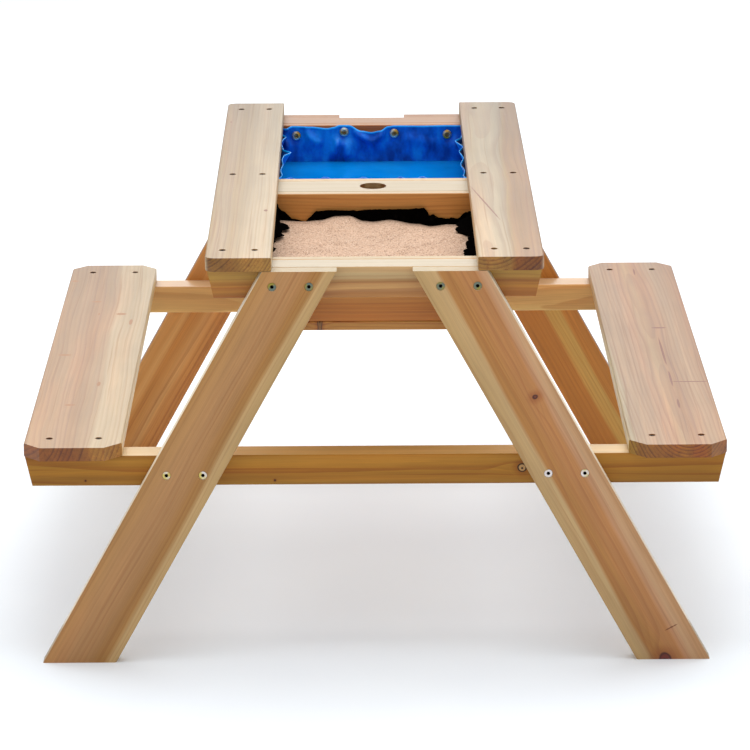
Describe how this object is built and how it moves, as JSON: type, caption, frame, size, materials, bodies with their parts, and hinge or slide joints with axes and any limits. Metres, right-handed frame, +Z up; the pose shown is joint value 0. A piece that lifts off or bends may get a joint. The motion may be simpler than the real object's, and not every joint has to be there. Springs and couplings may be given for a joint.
{
  "type": "sand and water table",
  "caption": "Child's A-frame picnic table in wood, with two benches, a lined water box and a lined sand box in its top, and a cross beam between them with a parasol hole.",
  "frame": {"origin": "on the floor, under the centre of the table", "axes": "+Z up, +Y along the planks towards the water box, +X to the right-hand bench when the sand box is nearest"},
  "size_m": [0.917, 0.935, 0.55],
  "materials": {
    "leg_wood": "satin",
    "rail_wood": "satin",
    "plank_wood": "matte",
    "beam_wood": "matte",
    "box_wood": "matte",
    "slat_wood": "matte",
    "blue_liner": "satin",
    "black_membrane": "matte",
    "water": "gloss",
    "sand": "matte",
    "zinc": "satin",
    "screw_steel": "satin"
  },
  "bodies": {
    "root": {"leg_front_left": "leg_wood", "leg_front_right": "leg_wood", "leg_back_left": "leg_wood", "leg_back_right": "leg_wood", "seat_rail_front": "rail_wood", "seat_rail_back": "rail_wood", "table_rail_front": "rail_wood", "table_rail_back": "rail_wood", "centre_beam": "beam_wood", "seat_left": "plank_wood", "seat_right": "plank_wood", "top_plank_left": "plank_wood", "top_plank_right": "plank_wood", "sand_box_end_wall": "box_wood", "sand_box_beam_wall": "box_wood", "sand_box_left_wall": "box_wood", "sand_box_right_wall": "box_wood", "water_box_end_wall": "box_wood", "water_box_beam_wall": "box_wood", "water_box_left_wall": "box_wood", "water_box_right_wall": "box_wood", "sand_floor_slat_1": "slat_wood", "sand_floor_slat_2": "slat_wood", "sand_floor_slat_3": "slat_wood", "sand_floor_slat_4": "slat_wood", "water_floor_slat_1": "slat_wood", "water_floor_slat_2": "slat_wood", "water_floor_slat_3": "slat_wood", "water_floor_slat_4": "slat_wood", "sand_liner": "black_membrane", "water_liner": "blue_liner", "sand_fill": "sand", "water_fill": "water", "leg_bolts_upper": "zinc", "leg_bolts_lower": "zinc", "barrel_nuts_upper": "zinc", "barrel_nuts_lower": "zinc", "plank_screws": "screw_steel", "seat_screws": "screw_steel", "box_corner_screws": "screw_steel", "box_hanging_screws": "screw_steel", "floor_slat_screws": "screw_steel", "liner_screws": "screw_steel", "liner_cup_washers": "zinc"}
  },
  "joints": []
}
